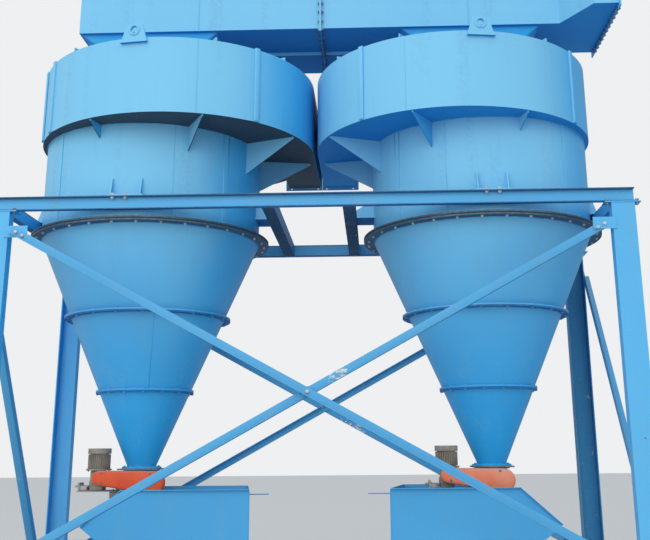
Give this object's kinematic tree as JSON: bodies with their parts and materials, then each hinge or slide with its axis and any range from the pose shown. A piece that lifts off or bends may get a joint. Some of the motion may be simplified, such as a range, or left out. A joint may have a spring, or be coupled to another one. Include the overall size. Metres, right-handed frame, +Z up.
{
  "type": "cyclone separator",
  "caption": "Twin cyclone dust separator on a braced steel frame, with scroll inlets, bolted cones, rotary valves, product hoppers and a shared outlet header.",
  "frame": {"origin": "on the floor, midway between the two cyclones and midway between the front and rear columns", "axes": "+X to the header's open end, +Y towards the inlet flanges at the back, +Z up"},
  "size_m": [5.15, 2.4038, 5.8],
  "materials": {
    "plant_blue": "gloss sky-blue paint over welded sheet",
    "frame_blue": "gloss sky-blue paint on rolled sections",
    "zinc_grey": "dull grey primer on cast and machined steel",
    "motor_grey": "dusty grey-beige enamel",
    "guard_orange": "orange-red safety paint",
    "gasket": "dark brown sealing strip"
  },
  "bodies": {
    "root": {"column_front_left": "frame_blue", "column_front_right": "frame_blue", "column_rear_left": "frame_blue", "column_rear_right": "frame_blue", "beam_front": "frame_blue", "beam_rear": "frame_blue", "beam_side_left": "frame_blue", "beam_side_right": "frame_blue", "beam_inner_left": "frame_blue", "beam_inner_right": "frame_blue", "brace_front_rising": "frame_blue", "brace_front_falling": "frame_blue", "brace_rear_rising": "frame_blue", "brace_rear_falling": "frame_blue", "brace_side_left": "frame_blue", "brace_side_right": "frame_blue", "scroll_left": "plant_blue", "scroll_right": "plant_blue", "lugs_left": "plant_blue", "lugs_right": "plant_blue", "roof_left": "plant_blue", "roof_right": "plant_blue", "barrel_left": "plant_blue", "barrel_right": "plant_blue", "gasket_left": "gasket", "gasket_right": "gasket", "cone_upper_left": "plant_blue", "cone_upper_right": "plant_blue", "cone_middle_left": "plant_blue", "cone_middle_right": "plant_blue", "cone_lower_left": "plant_blue", "cone_lower_right": "plant_blue", "outlet_left": "plant_blue", "outlet_right": "plant_blue", "transition_left": "plant_blue", "transition_right": "plant_blue", "valve_left": "zinc_grey", "valve_right": "zinc_grey", "gearmotor_left": "motor_grey", "gearmotor_right": "motor_grey", "guard_left": "guard_orange", "guard_right": "guard_orange", "hopper_left": "plant_blue", "hopper_right": "plant_blue", "stand_left": "frame_blue", "stand_right": "frame_blue", "header_left": "plant_blue", "header_right": "plant_blue", "header_flare": "plant_blue"}
  },
  "joints": []
}
